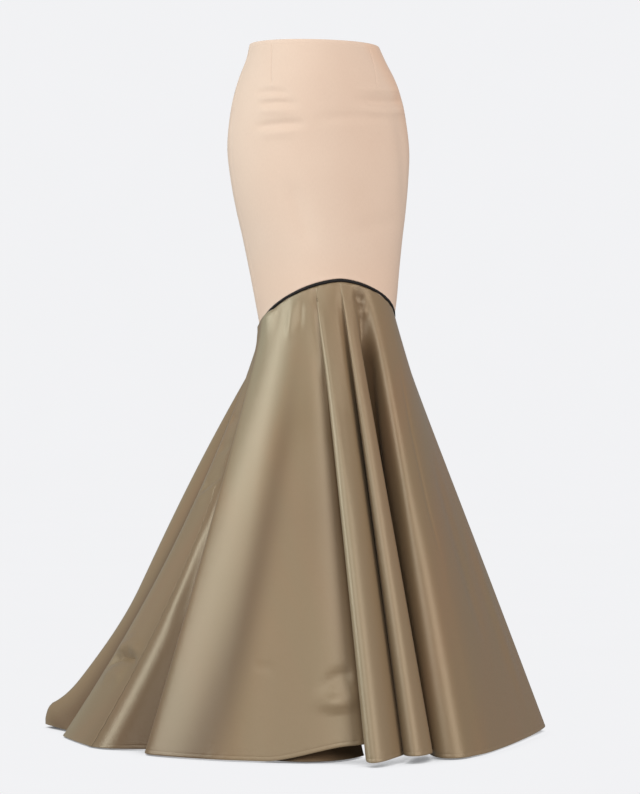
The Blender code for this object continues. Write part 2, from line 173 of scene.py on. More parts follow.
def add_cloth(name, outer, thick, material, painted_light_and_tone=None):
    """Closed shell between the outer grid and one set in by its thickness."""
    rows, columns = outer.shape[:2]
    size = rows * columns
    index = np.arange(size).reshape(rows, columns)
    a, b, c, d = index[:-1, :-1], index[:-1, 1:], index[1:, 1:], index[1:, :-1]
    face_out = np.stack([a, d, c, b], axis=-1).reshape(-1, 4)
    face_in = np.stack([a, b, c, d], axis=-1).reshape(-1, 4) + size
    rim = np.concatenate([index[0, ::-1], index[:, 0], index[-1, :], index[::-1, -1]])
    rim = rim[np.r_[True, rim[1:] != rim[:-1]]]
    start, after = rim[:-1], rim[1:]
    face_rim = np.stack([start, start + size, after + size, after], axis=-1)
    faces = np.concatenate([face_out, face_in, face_rim])
    inner = outer - facing_out(outer) * thick
    vertices = np.concatenate([outer.reshape(-1, 3), inner.reshape(-1, 3)])

    mesh = bpy.data.meshes.new(name)
    mesh.from_pydata(vertices.tolist(), [], faces.tolist())
    down_edge, down = edge_distance(outer, 0)
    across_edge, across = edge_distance(outer, 1)
    place = np.stack([across - across[:, -1:] / 2, -down], axis=-1).reshape(-1, 2)
    loops = np.array([loop.vertex_index for loop in mesh.loops]) % size
    mesh.uv_layers.new(name="cloth").data.foreach_set("uv", place[loops].ravel())
    edge = np.exp(-np.minimum(down_edge, across_edge) / WORN_WIDE).ravel()
    fields = {"edge": edge, "painted_light_and_tone": np.zeros(size) if painted_light_and_tone is None else painted_light_and_tone.ravel()}
    for field, values in fields.items():
        data = mesh.attributes.new(field, "FLOAT", "POINT").data
        data.foreach_set("value", np.tile(values, 2).astype(np.float32))
    made = add_piece(name, mesh, material)
    mesh.set_sharp_from_angle(angle=np.radians(SHARP_DEG))
    mesh.validate()
    return made


def feed(made, inputs):
    """Set a node's inputs, each to a value or to another node's output."""
    for key, value in inputs.items():
        if isinstance(value, bpy.types.NodeSocket):
            made.id_data.links.new(value, made.inputs[key])
        else:
            made.inputs[key].default_value = value


def node(tree, kind, inputs, **settings):
    made = tree.nodes.new("ShaderNode" + kind)
    for key, value in settings.items():
        setattr(made, key, value)
    feed(made, inputs)
    return made


def math_node(tree, operation, first, second=0.0, third=0.0, clamp=False):
    return node(tree, "Math", {0: first, 1: second, 2: third}, operation=operation,
                use_clamp=clamp).outputs[0]


def map_node(tree, value, low, high):
    """A value of 0 to 1 as one from low to high."""
    return node(tree, "MapRange", {0: value, 3: low, 4: high}).outputs[0]


def noise(tree, place, scale, detail, roughness=0.5):
    return node(tree, "TexNoise", {"Vector": place, "Scale": scale, "Detail": detail,
                                   "Roughness": roughness}).outputs["Fac"]


def mix_colours(tree, share, first, second, blend="MIX"):
    """Mix of two colours, each a node's output or (red, green, blue)."""
    ends = [one if isinstance(one, bpy.types.NodeSocket) else (*one, 1.0)
            for one in (first, second)]
    return node(tree, "Mix", {0: share, 6: ends[0], 7: ends[1]}, data_type="RGBA",
                blend_type=blend).outputs[2]


def new_group(name, inputs, outputs):
    """Empty shader node group, its inputs' sockets and its end node. Each input has its usual
    number or, as each output has, the kind of its socket."""
    tree = bpy.data.node_groups.new(name, "ShaderNodeTree")
    for label, given in inputs.items():
        kind = given if isinstance(given, str) else "Float"
        socket = tree.interface.new_socket(label, in_out="INPUT", socket_type="NodeSocket" + kind)
        if kind == "Float":
            socket.default_value = given
    for label, kind in outputs.items():
        tree.interface.new_socket(label, in_out="OUTPUT", socket_type="NodeSocket" + kind)
    return tree, tree.nodes.new("NodeGroupInput").outputs, tree.nodes.new("NodeGroupOutput")


def weave_group():
    """Crossing threads: their height, and how much light falls between them."""
    tree, given, result = new_group(
        "cloth weave", {"Place": "Vector", "Threads Across": 900.0, "Threads Along": 900.0,
                        "Slant": 0.0, "Unevenness": 0.5}, {"Height": "Float", "Shade": "Float"})
    split = node(tree, "SeparateXYZ", {0: given["Place"]})
    slanted = math_node(tree, "MULTIPLY_ADD", split.outputs["Y"], given["Slant"],
                        split.outputs["X"])
    waves = []
    for place, count in ((slanted, "Threads Across"), (split.outputs["Y"], "Threads Along")):
        threads = math_node(tree, "MULTIPLY", place, given[count])
        waves.append(math_node(tree, "SINE", math_node(tree, "MULTIPLY", threads, 2 * np.pi)))
    crossing = math_node(tree, "MULTIPLY", *waves)
    slub_place = node(tree, "VectorMath", {0: given["Place"], 1: (420.0, 160.0, 1.0)},
                      operation="MULTIPLY")
    slub = noise(tree, slub_place.outputs[0], 1.0, 3.0)
    uneven = math_node(tree, "MULTIPLY", math_node(tree, "SUBTRACT", slub, 0.5),
                       given["Unevenness"])
    height = math_node(tree, "ADD", math_node(tree, "MULTIPLY", crossing, 0.35), uneven)
    feed(result, {"Height": height, "Shade": math_node(tree, "MULTIPLY_ADD", height, 0.5, 0.5)})
    return tree


def drift_group():
    """Slow, uneven drift between two cloth colours, longer one way than the other."""
    tree, given, result = new_group(
        "colour drift", {"Place": "Vector", "Across": 8.0, "Along": 2.0, "Colour A": "Color",
                         "Colour B": "Color"}, {"Colour": "Color"})
    scale = node(tree, "CombineXYZ", {0: given["Across"], 1: given["Along"], 2: 1.0})
    place = node(tree, "VectorMath", {0: given["Place"], 1: scale.outputs[0]},
                 operation="MULTIPLY")
    cloud = noise(tree, place.outputs[0], 1.0, 4.0, 0.55)
    share = node(tree, "MapRange", {0: cloud, 1: 0.3, 2: 0.7}).outputs[0]
    feed(result, {"Colour": mix_colours(tree, share, given["Colour A"], given["Colour B"])})
    return tree


def wear_group():
    """Patchy mask where handling and pressing have polished the cloth along its edges."""
    tree, given, result = new_group(
        "edge wear", {"Edge": 0.0, "Place": "Vector", "Amount": 0.5}, {"Mask": "Float"})
    broken = math_node(tree, "MULTIPLY", given["Edge"], noise(tree, given["Place"], 70.0, 5.0))
    feed(result, {"Mask": math_node(tree, "MULTIPLY", broken, given["Amount"], clamp=True)})
    return tree


weave = weave_group()
drift = drift_group()
wear = wear_group()


def new_material(name, settings):
    """Material with its Principled shader's plain values set, and its tree."""
    made = bpy.data.materials.new(name)
    made.use_nodes = True
    shader = made.node_tree.nodes["Principled BSDF"]
    feed(shader, settings)
    return made, made.node_tree, shader


def grouped(tree, group, **inputs):
    """A node group's node; an input's name has _ for each space."""
    named = {label.replace("_", " "): value for label, value in inputs.items()}
    return node(tree, "Group", named, node_tree=group)


def drifting(tree, place, across, along, first, second):
    """A cloth's own colour, drifting between two."""
    return grouped(tree, drift, Place=place, Across=across, Along=along, Colour_A=(*first, 1.0),
                   Colour_B=(*second, 1.0)).outputs["Colour"]


def cloth_place(tree):
    return node(tree, "UVMap", {}, uv_map="cloth").outputs[0]


def cloth_field(tree, name):
    return node(tree, "Attribute", {}, attribute_name=name).outputs["Fac"]


def woven_colour(tree, threads, colour, between, on_top):
    """A colour with painted shade between the threads and a painted highlight on top of them."""
    shade = mix_colours(tree, threads.outputs["Shade"], between, on_top)
    return mix_colours(tree, 1.0, colour, shade, "MULTIPLY")


def finish_cloth(tree, shader, threads, colour, roughness, strength, distance):
    """Colour, roughness (between the threads, on top of them) and thread bump of a cloth."""
    bump = node(tree, "Bump", {"Height": threads.outputs["Height"], "Strength": strength,
                               "Distance": distance})
    feed(shader, {"Base Color": colour, "Normal": bump.outputs[0],
                  "Roughness": map_node(tree, threads.outputs["Shade"], *roughness)})


def nude_crepe():
    """Matte crepe: pebbly fine weave, soft bloom at the sides and a faint warm drift."""
    made, tree, shader = new_material("nude_crepe", {
        "Sheen Weight": 0.25, "Sheen Roughness": 0.45, "Sheen Tint": (1.0, 0.93, 0.86, 1.0),
        "Specular IOR Level": 0.25})
    place = cloth_place(tree)
    colour = drifting(tree, place, 5.0, 3.5, (0.610, 0.482, 0.390), (0.588, 0.450, 0.358))
    threads = grouped(tree, weave, Place=place, Threads_Across=1100.0, Threads_Along=950.0,
                      Unevenness=1.4)
    worn = grouped(tree, wear, Edge=cloth_field(tree, "edge"), Place=place, Amount=0.5)
    woven = woven_colour(tree, threads, colour, (0.94, 0.93, 0.92), (1.03, 1.03, 1.03))
    # painted side shade, and the warmer tone near the knees, mixed in from the per-point field
    toned = mix_colours(tree, cloth_field(tree, "painted_light_and_tone"), woven, (0.64, 0.41, 0.28))
    final = mix_colours(tree, worn.outputs["Mask"], toned, (0.79, 0.63, 0.52))
    finish_cloth(tree, shader, threads, final, (0.86, 0.74), 0.35, 0.0002)
    return made


# a dart's top and tip: turn angle and height
Dart = namedtuple("Dart", "top_deg top_z tip_deg tip_z")
FRONT_DARTS = [Dart(-53.0, -0.002, -46.5, -0.084), Dart(40.0, -0.006, 32.5, -0.086)]
BACK_LEFT_DARTS = [Dart(146.0, -0.002, 141.0, -0.118)]
BACK_RIGHT_DARTS = [Dart(-146.0, -0.002, -141.0, -0.115)]

# a crease: turn angle and height at both ends, bow of its middle, width, rise (- is a trough)
BodyCrease = namedtuple("BodyCrease", "deg_1 z_1 deg_2 z_2 bow width rise")
BODY_CREASES = [
    BodyCrease(-61.0, -0.093, -30.0, -0.095,  0.003, 0.0055, -0.0024),
    BodyCrease(-58.0, -0.103, -33.0, -0.104,  0.002, 0.0050,  0.0013),
    BodyCrease(-57.0, -0.113, -23.0, -0.114,  0.004, 0.0060, -0.0028),
    BodyCrease(-57.0, -0.126, -28.0, -0.127,  0.003, 0.0065,  0.0018),
    BodyCrease(-60.0, -0.151, -18.0, -0.145,  0.002, 0.0070, -0.0036),
    BodyCrease(-54.0, -0.165, -24.0, -0.160,  0.002, 0.0080,  0.0015),
    BodyCrease(10.0, -0.084,  74.0, -0.070, -0.004, 0.0070,  0.0022),
    BodyCrease(8.0, -0.103,   76.0, -0.089, -0.005, 0.0070, -0.0038),
    BodyCrease(11.0, -0.121,  72.0, -0.106, -0.004, 0.0080,  0.0022),
    BodyCrease(-20.0, -0.139,  42.0, -0.130,  0.003, 0.0090, -0.0018),
    BodyCrease(48.0, -0.100,  64.0, -0.310,  0.004, 0.0180, -0.0026),
    BodyCrease(-34.0, -0.235, -22.0, -0.360,  0.002, 0.0150, -0.0022),
    BodyCrease(2.0, -0.330,   58.0, -0.300,  0.004, 0.0150, -0.0012),
    BodyCrease(128.0, -0.070, 166.0, -0.083,  0.003, 0.0060, -0.0022),
    BodyCrease(122.0, -0.215, 170.0, -0.228, -0.006, 0.0090, -0.0034),
    BodyCrease(126.0, -0.238, 168.0, -0.250, -0.007, 0.0090,  0.0020),
    BodyCrease(-128.0, -0.075, -163.0, -0.080,  0.003, 0.0055, -0.0024),
    BodyCrease(-120.0, -0.208, -171.0, -0.224, -0.007, 0.0090, -0.0030),
    BodyCrease(-124.0, -0.262, -166.0, -0.268, -0.005, 0.0110, -0.0022),
    BodyCrease(-112.0, -0.330, -150.0, -0.352,  0.006, 0.0120, -0.0018),
    BodyCrease(108.0, -0.345, 152.0, -0.370,  0.005, 0.0120, -0.0018),
]
# a panel's seam allowance lies pressed under the panel beside it
TURNED_DEG = np.array([0.15, 1.2, 2.6])
ALLOWANCE_DEEP = 0.0024
DART_DEEP = 0.0009
DART_WIDE = 0.0012
DART_TIP_PUFF = 0.0009
DART_TIP_WIDE = 0.010
DART_DRAWS_DEG = 11.0           # the dart draws the mesh's columns along with it this far
SEAM_INSET_DEG = np.degrees(0.0002 / 0.14)
SEAM_PUCKER = 0.00012
STITCH_DEEP = 0.00035
STITCH_WIDE = 0.0006
WAVE = 0.0007                   # the crepe's slow, slight waves
PANEL_ROWS = 130
SHADE_DEG = 52.0                # where the warmer side shade starts at the hip
SHADE_Z = -0.10
SHADE_SLOPE = -190.0            # degrees it moves back per metre down


def with_marks(low, high, steps, marks, offsets):
    """Even values from low to high, with extra ones close beside each mark."""
    even = np.linspace(low, high, steps + 1)
    extra = [mark + side * offset for mark in marks for offset in offsets for side in (-1, 1)]
    extra = [value for value in extra + marks if low <= value <= high]
    clear = [value for value in even if min(abs(value - mark) for mark in marks) > max(offsets)]
    return np.unique(np.round(clear + extra + [low, high], 6))


def panel_heights(columns):
    """Rows of heights for each column, closer together at the top edge and the piping."""
    top = np.array([0.0, 0.0003, 0.0008, 0.0016, 0.003, 0.005, 0.0068, 0.0076,
                    TOP_STITCH_DOWN, 0.0084, 0.0092, 0.011])
    foot = np.array([0.005, 0.003, 0.0018, 0.001, 0.0004, 0.0])
    share = np.linspace(0.0, 1.0, PANEL_ROWS + 2)[1:-1]
    bottom = piping_z(columns) + PIPING_TALL / 2 + PIPING_GAP
    return np.concatenate([
        -top[:, None] + 0 * bottom,
        -top[-1] + share[:, None] * (bottom + foot[0] + top[-1]),
        bottom + foot[:, None],
    ])


def panel_rise(skin, deg, z, darts):
    """Height of a panel's creases, darts, waves and stitching above the plain form."""
    rise = np.zeros(skin.shape[:2])
    along = np.linspace(0.0, 1.0, 48)
    for row in BODY_CREASES:
        line_deg = row.deg_1 + (row.deg_2 - row.deg_1) * along
        line_z = row.z_1 + (row.z_2 - row.z_1) * along
        line_z = line_z + row.bow * np.sin(np.pi * along)
        rise += crease(skin, body_point(line_deg, line_z), row.width, row.rise)
    along = np.linspace(0.0, 1.0, 60)
    for dart in darts:
        line_z = dart.top_z + (dart.tip_z - dart.top_z) * along
        line_deg = dart.top_deg + (dart.tip_deg - dart.top_deg) * smooth_step(along, 0.0, 1.0)
        line = body_point(line_deg, line_z)
        rise += crease(skin, line, DART_WIDE, -DART_DEEP, 0.12)
        rise += crease(skin, line[-6:], DART_TIP_WIDE, DART_TIP_PUFF, 0.1)
    turn = np.radians(deg)
    rise += WAVE * np.sin(2.3 * turn + 9.0 * z + 0.7) * np.sin(14.0 * z + 1.3 * turn)
    return rise - STITCH_DEEP * bell(z + TOP_STITCH_DOWN, STITCH_WIDE)


def add_upper_panel(name, stands_for, low_deg, high_deg, steps, darts):
    low_edge, high_edge = low_deg + SEAM_INSET_DEG, high_deg - SEAM_INSET_DEG
    marks = [dart.top_deg for dart in darts] + [low_edge, high_edge]
    columns = with_marks(low_edge, high_edge, steps, marks, (0.2, 0.4, 0.7, 1.2))
    shown = len(columns)
    if high_deg < 180.0:
        columns = np.concatenate([columns, high_deg + TURNED_DEG])
    z = panel_heights(columns)
    deg = np.broadcast_to(columns, z.shape).copy()
    for dart in darts:
        reached = smooth_step(-z, -dart.top_z, -dart.tip_z)
        beside = bell(columns - dart.top_deg, DART_DRAWS_DEG)
        deg += (dart.tip_deg - dart.top_deg) * reached * beside
    skin = body_point(deg, z)
    rise = panel_rise(skin, deg, z, darts)
    away = np.full(skin.shape[:2], 1.0)
    away[:, :shown] = edge_distance(skin[:, :shown], 1)[0]
    rise += SEAM_PUCKER * uneven_ripple(z, 410.0, 63.0) * np.exp(-away / 0.006)
    rise -= ROLL_DEEP * rolled_edge(away)
    rise -= ROLL_DEEP * rolled_edge(edge_distance(skin, 0)[0])
    rise[:, shown:] -= ALLOWANCE_DEEP
    outer = skin + facing_out(skin) * rise[..., None]
    # painted side shade: the crepe is made darker and warmer towards the left side, which turns
    # away from the light; it is also made a little warmer near the knees
    side_line = SHADE_DEG + SHADE_SLOPE * (z - SHADE_Z)
    painted_light_and_tone = 0.45 * smooth_step(deg, side_line - 8.0, side_line + 14.0)
    painted_light_and_tone += 0.14 * smooth_step(-z, 0.34, 0.42)
    made = add_cloth(name, outer, CREPE_THICK, crepe, painted_light_and_tone)
    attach(made, "skirt")
    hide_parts(stands_for)


crepe = nude_crepe()
add_upper_panel("upper_front", "skirt_front", RIGHT_SIDE_DEG, LEFT_SIDE_DEG, 170, FRONT_DARTS)
add_upper_panel("upper_back_left", "skirt_back_left", LEFT_SIDE_DEG, 180.0, 84, BACK_LEFT_DARTS)
add_upper_panel("upper_back_right", "skirt_back_right", -180.0, RIGHT_SIDE_DEG, 84,
                BACK_RIGHT_DARTS)

# ---------------------------------------------------------------- piping
# A thin cord wrapped in a bias strip of near-black cloth, sewn all round into the seam
# between the tube and the flounce.
PIPING_DEEP = 0.0036
PIPING_PROUD = 0.0013
CORD_STEPS = 900
CORD_SIDES = 14
CORD_LONG = 0.76                # once round the seam
CORD_GIRTH = 0.013


def black_bias():
    """Near-black bias strip: threads lie slantwise over the cord."""
    made, tree, shader = new_material("black_bias_strip", {
        "Sheen Weight": 0.05, "Sheen Roughness": 0.5, "Specular IOR Level": 0.2})
    place = cloth_place(tree)
    threads = grouped(tree, weave, Place=place, Threads_Across=1300.0, Threads_Along=1300.0,
                      Slant=1.0, Unevenness=0.9)
    colour = drifting(tree, place, 40.0, 200.0, (0.005, 0.004, 0.004), (0.009, 0.007, 0.006))
    finish_cloth(tree, shader, threads, colour, (0.62, 0.5), 0.6, 0.00025)
    return made


def strip(first, second, count):
    """Faces between two closed rings of count points, from their first points' numbers."""
    beyond = [(i + 1) % count for i in range(count)]
    return [(first + i, first + j, second + j, second + i) for i, j in enumerate(beyond)]


def add_cord():
    deg = np.linspace(-180.0, 180.0, CORD_STEPS, endpoint=False)
    ring = np.linspace(0.0, 2 * np.pi, CORD_SIDES, endpoint=False)
    middle = piping_z(deg)
    above = body_point(deg, middle + PIPING_TALL / 2)
    below = body_point(deg, middle - PIPING_TALL / 2)
    wrapped = np.stack([above, below])[:, np.r_[-1, 0:CORD_STEPS, 0]]
    normal = facing_out(wrapped)[0, 1:-1]
    pull = 0.00008 * uneven_ripple(np.radians(deg), 53.0, 9.0)
    points = []
    for angle in ring:
        tall = (1 - np.cos(angle)) / 2
        proud = PIPING_PROUD - PIPING_DEEP * (1 - np.sin(angle)) / 2 + pull
        points.append(above * (1 - tall) + below * tall + normal * proud[:, None])
    faces = []
    for side in range(CORD_SIDES):
        beyond = (side + 1) % CORD_SIDES
        faces += strip(beyond * CORD_STEPS, side * CORD_STEPS, CORD_STEPS)
    mesh = bpy.data.meshes.new("piping_cord")
    mesh.from_pydata(np.concatenate(points).tolist(), [], faces)
    loops = np.array([loop.vertex_index for loop in mesh.loops])
    run = (loops % CORD_STEPS) / CORD_STEPS * CORD_LONG
    girth = (loops // CORD_STEPS) / CORD_SIDES * CORD_GIRTH
    mesh.uv_layers.new(name="cloth").data.foreach_set("uv", np.stack([run, girth], 1).ravel())
    made = add_piece("piping_cord", mesh, black_bias())
    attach(made, "skirt")
    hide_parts("piping")


add_cord()

# ---------------------------------------------------------------- satin flounce
# One front and two back gores of heavy olive-brown satin, cut as a wide flare and sewn to the
# piping seam. It falls in long folds, some pressed deep at the left of the front, and runs out
# into a short train; a narrow hem is turned up and stitched all round.
FLOOR_Z = -1.180
SATIN_THICK = 0.0015
BEND_AT = 0.62                  # share of the way down where the fall starts to bend out
TRAIN_RISE = 0.22               # rise of the train's start, for each metre that it runs out
SWELL = 0.35
MEAN_FRONT = 0.300              # half-way down, the folds swell towards an oval of these
MEAN_BACK = 0.560               # half lengths
MEAN_SIDE = 0.385
MEAN_SHIFT_Y = -0.020
HEM_DEEP = 0.0065               # stitch line above the hem edge

# seam_deg, hem_deg: turn angle at the piping and the hem; hem_radius from the waist's axis;
# lift above the floor; roundness and lean_deg: the hem curve's handle there; train: run out
# along the floor; hang: how much the fold hangs in before it flares
Fold = namedtuple("Fold", "name seam_deg hem_deg hem_radius lift roundness lean_deg train hang")
FOLDS = [
    Fold("back_centre",       -180.0, -180.0, 0.700, 0.003, 0.070,   0, 0.16, 0.00),
    Fold("back_valley_1",     -168.0, -167.0, 0.610, 0.003, 0.030,   0, 0.14, 0.00),
    Fold("back_right_2",      -157.0, -156.0, 0.600, 0.003, 0.035,   5, 0.14, 0.00),
    Fold("back_valley_2",     -147.0, -148.0, 0.480, 0.003, 0.022,   0, 0.10, 0.05),
    Fold("back_right_1",      -137.0, -138.5, 0.505, 0.003, 0.026,   5, 0.11, 0.15),
    Fold("back_valley_3",     -130.0, -129.0, 0.424, 0.003, 0.016,   0, 0.08, 0.16),
    Fold("tail",              -122.5, -122.2, 0.490, 0.006, 0.015,  12, 0.13,-0.30),
    Fold("tail_valley",       -111.5, -112.0, 0.418, 0.003, 0.012,   0, 0.01, 0.22),
    Fold("side_fold",          -99.1, -105.8, 0.429, 0.003, 0.016,  15, 0.00, 0.40),
    Fold("right_side_seam",    -89.0,  -86.6, 0.396, 0.003, 0.050,   9, 0.00, 0.50),
    Fold("side_valley",        -83.0,  -73.5, 0.319, 0.003, 0.014,   0, 0.00, 0.20),
    Fold("front_panel_edge",   -74.0,  -65.7, 0.356, 0.003, 0.040,  12, 0.00, 0.00),
    Fold("front_panel_1",      -52.0,  -46.9, 0.333, 0.003, 0.035,   8, 0.00, 0.00),
    Fold("front_panel_2",      -37.0,  -31.4, 0.322, 0.003, 0.032,   1, 0.00, 0.00),
    Fold("front_panel_3",      -26.5,   -8.2, 0.336, 0.030, 0.030,   2, 0.00, 0.00),
    Fold("pleat_valley_1",     -22.0,    1.2, 0.325, 0.036, 0.006,  20, 0.00, 0.00),
    Fold("pleat_1",            -21.2,   -5.0, 0.374, 0.008, 0.026, -62, 0.00, 0.00),
    Fold("pleat_1_face",        -9.0,    5.2, 0.347, 0.012, 0.024,  38, 0.00, 0.00),
    Fold("pleat_valley_2",      -3.5,   14.8, 0.292, 0.012, 0.006,  20, 0.00, 0.00),
    Fold("pleat_2",             -2.0,    6.2, 0.356, 0.013, 0.024, -66, 0.00, 0.00),
    Fold("pleat_2_face",         4.0,   15.2, 0.346, 0.013, 0.020,  40, 0.00, 0.00),
    Fold("deep_valley",         12.0,   28.2, 0.240, 0.006, 0.014, -10, 0.00, 0.32),
    Fold("left_ridge",          24.0,   18.4, 0.350, 0.003, 0.034, -44, 0.00, 0.00),
    Fold("left_panel_1",        40.0,   30.0, 0.359, 0.003, 0.026,   2, 0.00, 0.00),
    Fold("left_panel_2",        55.0,   46.0, 0.349, 0.003, 0.040,   1, 0.00, 0.00),
    Fold("left_panel_3",        72.0,   65.5, 0.364, 0.004, 0.036, -15, 0.00, 0.00),
    Fold("left_side_fold",      86.0,   82.0, 0.408, 0.008, 0.018, -10, 0.00, 0.00),
    Fold("left_side_seam",      92.0,   89.0, 0.372, 0.004, 0.016,  20, 0.00, 0.00),
    Fold("left_valley",         98.0,   97.0, 0.350, 0.004, 0.016,   0, 0.00, 0.00),
    Fold("back_left_1",        109.0,  106.0, 0.435, 0.003, 0.024,   0, 0.04, 0.05),
    Fold("back_valley_4",      119.0,  117.0, 0.390, 0.003, 0.020,   0, 0.05, 0.05),
    Fold("back_left_2",        130.0,  129.0, 0.505, 0.003, 0.032,   0, 0.09, 0.00),
    Fold("back_valley_5",      141.0,  140.0, 0.455, 0.003, 0.022,   0, 0.09, 0.00),
    Fold("back_left_3",        154.0,  152.0, 0.610, 0.003, 0.038,   0, 0.13, 0.00),
    Fold("back_valley_6",      167.0,  165.5, 0.580, 0.003, 0.030,   0, 0.13, 0.00),
]
FOLD_ROW = {fold.name: row for row, fold in enumerate(FOLDS)}
STEPS = 20                      # mesh columns from one fold line to the next


def fold_column(name):
    """One column of FOLDS, closed with its first row again."""
    column = [getattr(fold, name) for fold in FOLDS]
    first = column[0] + (360.0 if name in ("seam_deg", "hem_deg") else 0.0)
    return np.array(column + [first], dtype=float)


def bezier(first, second, third, fourth, share):
    return ((1 - share) ** 3 * first + 3 * (1 - share) ** 2 * share * second
            + 3 * (1 - share) * share ** 2 * third + share ** 3 * fourth)


def flounce_points(turns, levels):
    """Points at turns (rows of FOLDS, one per column) and levels (piping 0 to hem 1)."""
    count = len(FOLDS)
    turns = np.asarray(turns, dtype=float) % count
    levels = np.broadcast_to(levels, (len(levels), len(turns)))
    row = np.clip(np.floor(turns).astype(int), 0, count - 1)
    u = turns - row
    ease = u * u * (3 - 2 * u)

    def eased(name):
        column = fold_column(name)
        return column[row] * (1 - ease) + column[row + 1] * ease

    seam = fold_column("seam_deg")
    seam_deg = seam[row] * (1 - u) + seam[row + 1] * u
    hem_turn = np.radians(fold_column("hem_deg"))
    radius = fold_column("hem_radius")
    knot = np.stack([radius * np.sin(hem_turn), -radius * np.cos(hem_turn)], axis=-1)
    lean = hem_turn + np.radians(fold_column("lean_deg"))
    handle = np.stack([np.cos(lean), np.sin(lean)], axis=-1) * fold_column("roundness")[:, None]
    hem_xy = bezier(knot[row], knot[row] + handle[row], knot[row + 1] - handle[row + 1],
                    knot[row + 1], u[:, None])
    start = body_point(seam_deg, piping_z(seam_deg) - PIPING_TALL / 2 - PIPING_GAP)
    end = np.concatenate([hem_xy, (FLOOR_Z + eased("lift"))[:, None]], axis=1)
    outward = end - start
    outward[:, 2] = 0.0
    outward /= np.linalg.norm(outward, axis=1, keepdims=True)
    train = eased("train")[:, None]
    turn_point = end - outward * train
    turn_point[:, 2] += TRAIN_RISE * train[:, 0]
    bend = start + (turn_point - start) * BEND_AT

    fine = np.linspace(0.0, 1.0, 61)
    fall = bezier(start, bend, turn_point, end, fine[:, None, None])
    step = np.linalg.norm(np.diff(fall, axis=0), axis=2)
    length = np.concatenate([np.zeros((1, fall.shape[1])), np.cumsum(step, axis=0)])
    share = np.stack([np.interp(levels[:, i], length[:, i] / length[-1, i], fine)
                      for i in range(len(turns))], axis=1)
    grid = bezier(start, bend, turn_point, end, share[..., None])
    from_middle = hem_xy - (0.0, MEAN_SHIFT_Y)
    mean_depth = np.where(from_middle[:, 1] < 0, MEAN_FRONT, MEAN_BACK)
    reach = np.hypot(from_middle[:, 0] / MEAN_SIDE, from_middle[:, 1] / mean_depth)[:, None]
    middle = (levels * (1 - levels))[..., None]
    grid[:, :, :2] += SWELL * middle * from_middle * (1 - 1 / reach)
    grid[:, :, :2] -= eased("hang")[:, None] * middle * (end - start)[:, :2]
    return grid, length[-1]


# a soft ridge or trough of the satin: points (fold row, level), its width and its rise
SATIN_CREASES = [
    # puckers where the side of the flounce folds behind the front
    ([(8.10, 0.215), (9.10, 0.225)], 0.007, -0.0035),
    ([(8.10, 0.290), (9.10, 0.285)], 0.007, -0.0040),
    ([(8.05, 0.392), (8.50, 0.372), (9.20, 0.345)], 0.009, -0.0055),
    ([(8.10, 0.425), (8.60, 0.400), (9.10, 0.380)], 0.011, 0.0032),
    # soft hollow beside the side seam, and the buckle across the side fold near the floor
    ([(9.45, 0.45), (9.50, 0.75)], 0.014, -0.0030),
    ([(8.00, 0.828), (8.25, 0.803), (8.50, 0.794), (8.75, 0.798), (9.00, 0.815)],
     0.008, -0.0100),
    ([(8.05, 0.795), (8.50, 0.763), (8.95, 0.785)], 0.012, 0.0055),
    ([(8.15, 0.858), (8.50, 0.835), (8.85, 0.845)], 0.013, 0.0045),
    # dimple near the front hem, with a bright lobe each side
    ([(13.60, 0.885), (13.80, 0.856), (14.02, 0.850), (14.22, 0.862)], 0.010, -0.0024),
    ([(13.80, 0.890), (13.76, 0.925)], 0.019, 0.0030),
    ([(14.06, 0.880), (14.12, 0.925)], 0.019, 0.0024),
    ([(12.50, 0.800), (13.10, 0.812)], 0.005, -0.0008),
    # short gathers under the piping, fanning from the pleats
    ([(14.30, 0.015), (14.45, 0.10), (14.50, 0.22)], 0.006, 0.0028),
    ([(14.75, 0.015), (14.80, 0.10), (14.82, 0.30)], 0.005, 0.0026),
    ([(14.55, 0.015), (14.62, 0.12), (14.66, 0.26)], 0.005, -0.0022),
    ([(16.10, 0.015), (16.20, 0.20), (16.30, 0.50)], 0.006, 0.0022),
    ([(12.75, 0.012), (12.65, 0.10)], 0.007, 0.0018),
    ([(13.30, 0.012), (13.25, 0.09)], 0.007, -0.0016),
    # dent under the piping, and the deep hollow between the pleats and the left side
    ([(20.3, 0.024), (20.9, 0.032), (21.5, 0.030)], 0.007, -0.0034),
    ([(20.5, 0.066), (21.1, 0.058), (21.6, 0.050)], 0.007, 0.0030),
    ([(20.95, 0.11), (20.95, 0.20), (21.00, 0.40), (21.1, 0.62)], 0.014, -0.0135),
    # long light creases down the left front
    ([(23.05, 0.13), (22.92, 0.30), (22.95, 0.46), (23.15, 0.62)], 0.004, -0.0014),
    ([(22.15, 0.05), (22.10, 0.30), (22.05, 0.62)], 0.012, 0.0022),
    ([(24.30, 0.30), (24.35, 0.80)], 0.020, -0.0030),
    ([(25.40, 0.45), (25.30, 0.95)], 0.020, 0.0030),
    # the same sort of gathers, puckers and buckles where the back falls
    ([(27.6, 0.03), (27.7, 0.30)], 0.008, -0.0030),
    ([(28.3, 0.75), (29.0, 0.73), (29.7, 0.76)], 0.016, -0.0045),
    ([(28.4, 0.80), (29.6, 0.80)], 0.020, 0.0040),
    ([(30.4, 0.02), (30.5, 0.22)], 0.007, -0.0026),
    ([(31.2, 0.60), (31.9, 0.58), (32.6, 0.61)], 0.018, -0.0040),
    ([(32.6, 0.02), (32.6, 0.30)], 0.007, 0.0026),
    ([(33.3, 0.80), (34.0, 0.78), (34.6, 0.81)], 0.020, -0.0045),
    ([(1.5, 0.02), (1.55, 0.26)], 0.007, -0.0026),
    ([(1.3, 0.66), (2.0, 0.64), (2.7, 0.67)], 0.018, -0.0045),
    ([(2.9, 0.02), (2.95, 0.20)], 0.007, 0.0024),
    ([(3.4, 0.74), (4.1, 0.72), (4.8, 0.75)], 0.018, -0.0040),
    ([(5.0, 0.30), (5.1, 0.55)], 0.010, -0.0030),
]


